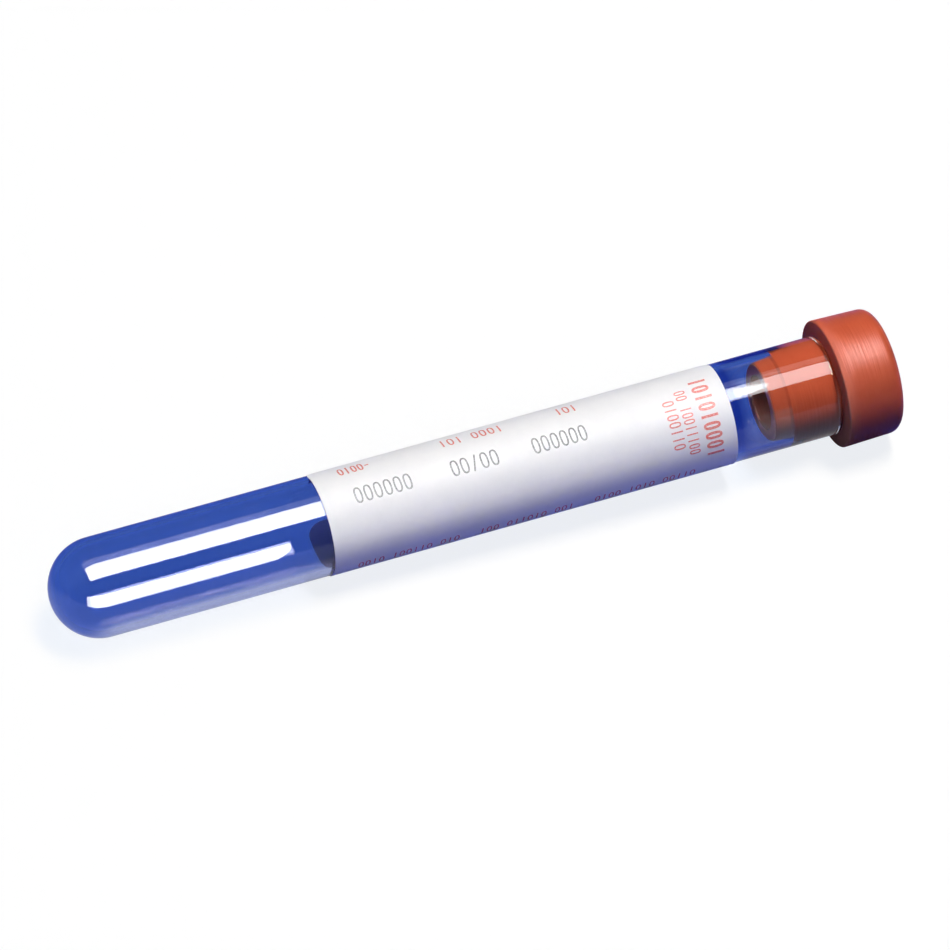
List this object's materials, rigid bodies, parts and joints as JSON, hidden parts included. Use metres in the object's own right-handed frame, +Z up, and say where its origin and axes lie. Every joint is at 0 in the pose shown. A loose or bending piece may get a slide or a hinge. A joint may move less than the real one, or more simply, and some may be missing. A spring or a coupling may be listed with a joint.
{
  "type": "blood collection tube",
  "caption": "Round-bottomed glass blood collection tube with a wrapped paper label and a thick-headed rubber stopper that pulls out of its mouth.",
  "frame": {"origin": "under the middle of the whole tube, on the surface it lies on", "axes": "+X from the round bottom to the stopper, +Z up; the tube lies on its round bottom and on the edge of its stopper, so its own axis rises about 1.1 degrees towards +X"},
  "size_m": [0.1346, 0.0198, 0.0198],
  "materials": {
    "glass": "drawn borosilicate glass, fire-polished at the rim",
    "paper": "semi-gloss coated label paper with printed captions",
    "rubber": "moulded brick-red rubber, satin"
  },
  "bodies": {
    "tube": {"glass_tube": "glass", "label": "paper"},
    "stopper": {"stopper": "rubber"}
  },
  "joints": [
    {"name": "stopper_pull", "type": "slide", "parent": "tube", "child": "stopper", "axis": [0.9998, 0, 0.0189], "range_m": [0, 0.02]}
  ]
}
